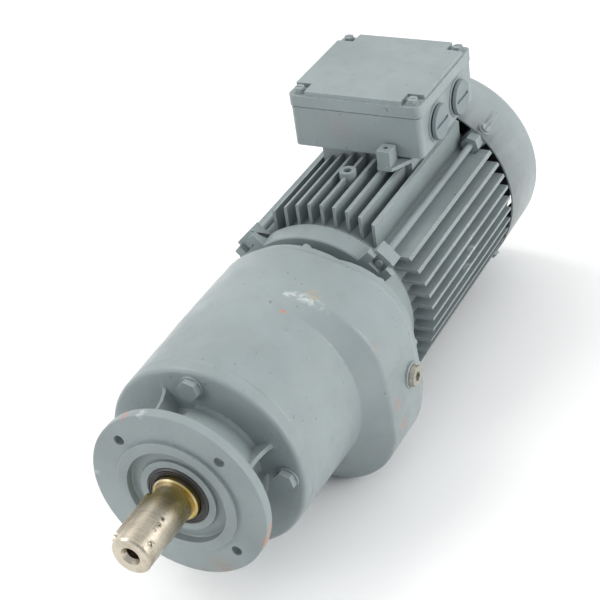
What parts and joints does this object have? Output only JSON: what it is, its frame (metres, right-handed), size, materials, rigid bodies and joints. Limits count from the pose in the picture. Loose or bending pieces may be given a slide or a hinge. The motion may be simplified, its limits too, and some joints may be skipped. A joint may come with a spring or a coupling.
{
  "type": "inline gear reducer",
  "caption": "Inline helical gear reducer: flange-mounted output with keyed shaft, coaxial gear case with side lobe, finned fan-cooled motor and terminal box.",
  "frame": {"origin": "centre of the output flange face, on the output shaft axis", "axes": "-Y along the output shaft, +Y towards the motor and fan, +Z towards the terminal box, +X towards the oil plug and the cable entries"},
  "size_m": [0.2169, 0.652, 0.2733],
  "materials": {
    "paint": "blue-grey machine enamel over castings, satin",
    "machined_steel": "ground and turned steel",
    "shaft_steel": "bare turned steel, oil tinted near the seal",
    "rubber": "matte nitrile rubber",
    "plastic": "moulded fan plastic",
    "plug_plastic": "moulded grey plug",
    "block_plastic": "brown moulding compound",
    "brass": "plain brass",
    "copper": "copper sealing ring",
    "plated": "yellow passivated zinc plate",
    "lamination": "stacked electrical sheet",
    "cage": "die cast aluminium",
    "winding": "varnished copper winding"
  },
  "bodies": {
    "root": {"output_flange": "paint", "output_seal": "rubber", "output_front_bearing_outer": "machined_steel", "output_rear_bearing_outer": "machined_steel", "counter_front_bearing_outer": "machined_steel", "counter_rear_bearing_outer": "machined_steel", "motor_front_bearing_outer": "machined_steel", "motor_rear_bearing_outer": "machined_steel", "gear_case": "paint", "rear_cover": "paint", "rear_cover_screws": "plated", "flange_bolts": "paint", "flange_bolt_washers": "paint", "oil_plugs": "plated", "oil_plug_washers": "copper", "stator_core": "lamination", "stator_winding": "winding", "motor_housing": "paint", "front_end_shield": "paint", "rear_end_shield": "paint", "tie_rods": "paint", "tie_rod_nuts": "plated", "rotor_seal": "rubber", "wave_washer": "machined_steel", "fan_cowl": "paint", "cowl_screws": "paint", "terminal_box": "paint", "terminal_lid": "paint", "lid_gasket": "rubber", "lid_screws": "paint", "blanking_plugs": "plug_plastic", "plug_seals": "rubber", "terminal_block": "block_plastic", "terminal_studs": "brass"},
    "output": {"output_shaft": "shaft_steel", "output_key": "shaft_steel", "output_gear": "machined_steel", "output_gear_key": "machined_steel", "output_shaft_circlip": "machined_steel", "output_front_bearing_inner": "machined_steel", "output_rear_bearing_inner": "machined_steel"},
    "counter": {"countershaft": "machined_steel", "counter_spacer": "machined_steel", "counter_gear": "machined_steel", "counter_gear_key": "machined_steel", "counter_front_bearing_inner": "machined_steel", "counter_rear_bearing_inner": "machined_steel"},
    "rotor": {"rotor_shaft": "machined_steel", "motor_pinion": "machined_steel", "rotor_core": "lamination", "rotor_cage": "cage", "motor_front_bearing_inner": "machined_steel", "motor_rear_bearing_inner": "machined_steel", "fan": "plastic", "fan_circlip": "machined_steel"}
  },
  "joints": [
    {"name": "rotor_spin", "type": "hinge", "parent": "root", "child": "rotor", "pos_m": [0, 0.3, 0], "axis": [0, 1, 0], "continuous": true},
    {"name": "countershaft_spin", "type": "hinge", "parent": "root", "child": "counter", "pos_m": [0.0483, 0.15, -0.02415], "axis": [0, 1, 0], "continuous": true},
    {"name": "output_spin", "type": "hinge", "parent": "root", "child": "output", "pos_m": [0, 0, 0], "axis": [0, 1, 0], "continuous": true}
  ],
  "couplings": [
    {"joint": "countershaft_spin", "follows": "rotor_spin", "ratio": -0.26316},
    {"joint": "output_spin", "follows": "rotor_spin", "ratio": 0.092105}
  ]
}
